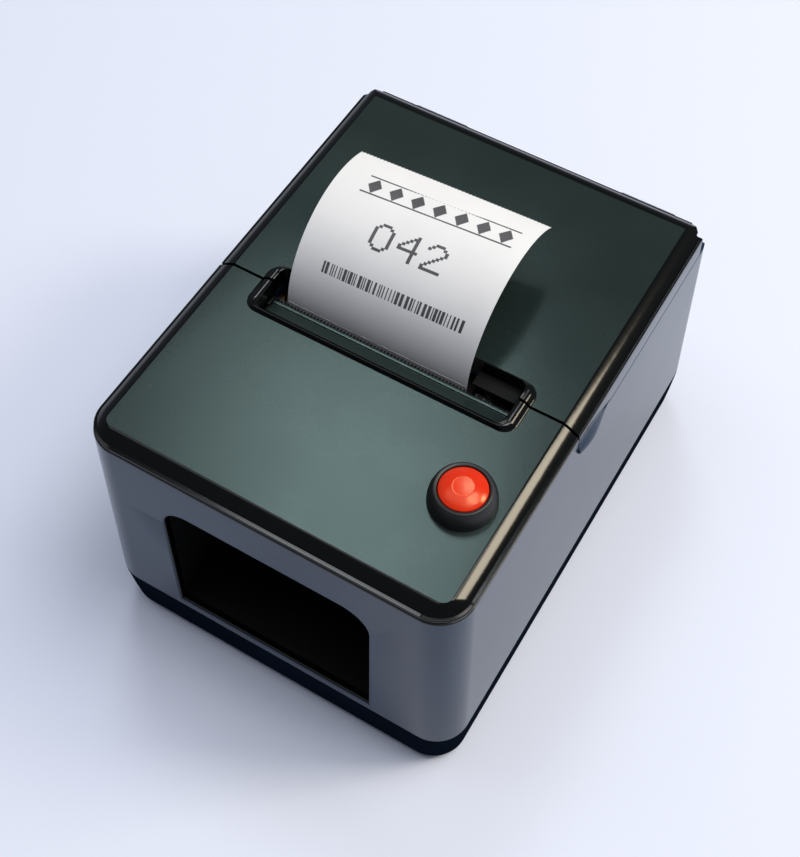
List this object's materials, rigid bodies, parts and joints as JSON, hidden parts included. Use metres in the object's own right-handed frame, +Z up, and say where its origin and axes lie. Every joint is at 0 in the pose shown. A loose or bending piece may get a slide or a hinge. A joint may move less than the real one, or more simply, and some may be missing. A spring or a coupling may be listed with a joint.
{
  "type": "queue ticket printer",
  "caption": "Countertop queue ticket printer: leaning plastic case, cable bay, red push button, slot with tear bar and a printed ticket, hinged lid over a paper roll.",
  "frame": {"origin": "on the table, under the middle of the case", "axes": "+Z up, +Y from the cable bay face to the hinged rear, +X towards the push button side"},
  "size_m": [0.11, 0.15, 0.107],
  "materials": {
    "slate_abs": "satin moulded ABS, dark slate",
    "slate_abs_tray": "satin moulded ABS, dark slate",
    "green_black_abs": "dark green-black ABS with a fine texture",
    "gloss_black_abs": "polished black ABS",
    "black_abs": "matte black ABS",
    "black_nylon": "matte black nylon",
    "foot_rubber": "matte",
    "platen_rubber": "ground silicone rubber",
    "zinc_steel": "zinc plated sheet steel",
    "turned_steel": "turned steel",
    "spring_steel": "drawn spring wire",
    "screw_steel": "zinc plated screw steel",
    "port_steel": "tinned sheet steel",
    "cast_aluminium": "die cast, matte",
    "glazed_ceramic": "glazed ceramic",
    "acetal": "black acetal",
    "bronze": "sintered bronze",
    "thermal_paper": "coated paper",
    "cardboard": "wound cardboard",
    "red_cap": "polished red-orange plastic",
    "tinned_brass": "tinned brass",
    "green_board": "green solder mask",
    "chip_epoxy": "moulded epoxy",
    "sensor_plastic": "black polycarbonate",
    "ribbon_film": "black coverlay film"
  },
  "bodies": {
    "case": {"case_body": "slate_abs", "base_tray": "slate_abs_tray", "rubber_feet": "foot_rubber", "front_top_cover": "green_black_abs", "tear_bar": "gloss_black_abs", "bay_liner": "black_abs", "roll_bucket": "black_abs", "mechanism_frame": "zinc_steel", "paper_guide": "black_abs", "paper_sensor": "sensor_plastic", "stepper_motor": "zinc_steel", "idler_axle": "turned_steel", "head_pivot_pin": "turned_steel", "head_springs": "spring_steel", "hinge_pins": "turned_steel", "paper_web": "thermal_paper", "button_bezel": "black_nylon", "button_spring": "spring_steel", "button_nut": "zinc_steel", "button_terminals": "tinned_brass", "main_board": "green_board", "board_chips": "chip_epoxy", "power_jack": "black_nylon", "usb_port": "port_steel", "head_ribbon": "ribbon_film", "ribbon_connector": "acetal", "case_screws": "screw_steel", "chassis_screws": "screw_steel", "cover_screws": "screw_steel", "board_screws": "screw_steel", "mechanism_screws": "screw_steel"},
    "lid": {"lid_frame": "slate_abs", "lid_top_panel": "green_black_abs", "lid_screws": "screw_steel", "platen_bushes": "bronze"},
    "platen": {"platen_roller": "platen_rubber", "platen_shaft": "turned_steel", "platen_gear": "acetal"},
    "idler": {"idler_gear": "acetal"},
    "pinion": {"motor_pinion": "turned_steel"},
    "print_head": {"head_heatsink": "cast_aluminium", "thermal_head": "glazed_ceramic"},
    "roll": {"paper_roll": "thermal_paper", "roll_core": "cardboard"},
    "button": {"button_cap": "red_cap"},
    "ticket_strip": {"ticket": "thermal_paper"}
  },
  "joints": [
    {"name": "lid_hinge", "type": "hinge", "parent": "case", "child": "lid", "pos_m": [0, 0.0697, 0.075], "axis": [-1, 0, 0], "range_deg": [0, 95]},
    {"name": "roll_spin", "type": "hinge", "parent": "case", "child": "roll", "pos_m": [0, 0.03, 0.045], "axis": [1, 0, 0], "continuous": true},
    {"name": "platen_spin", "type": "hinge", "parent": "lid", "child": "platen", "pos_m": [0, -0.007, 0.074], "axis": [1, 0, 0], "continuous": true},
    {"name": "idler_spin", "type": "hinge", "parent": "case", "child": "idler", "pos_m": [0, -0.00918, 0.05849], "axis": [1, 0, 0], "continuous": true},
    {"name": "pinion_spin", "type": "hinge", "parent": "case", "child": "pinion", "pos_m": [0, -0.02303, 0.05716], "axis": [1, 0, 0], "continuous": true},
    {"name": "head_tilt", "type": "hinge", "parent": "case", "child": "print_head", "pos_m": [0, -0.014, 0.062], "axis": [1, 0, 0], "range_deg": [0, 3], "stiffness_Nm_per_rad": 0.4, "springref_deg": -2.86, "deforming": ["head_springs"]},
    {"name": "button_press", "type": "slide", "parent": "case", "child": "button", "axis": [0, 0, -1], "range_m": [0, 0.0018], "stiffness_N_per_m": 400, "springref_m": -0.001, "deforming": ["button_spring"]},
    {"name": "ticket_pull", "type": "slide", "parent": "lid", "child": "ticket_strip", "axis": [0, 0, 1], "range_m": [0, 0.06]}
  ],
  "couplings": [
    {"joint": "platen_spin", "follows": "roll_spin", "ratio": 5.3333},
    {"joint": "idler_spin", "follows": "roll_spin", "ratio": -2.6667},
    {"joint": "pinion_spin", "follows": "roll_spin", "ratio": 8}
  ]
}
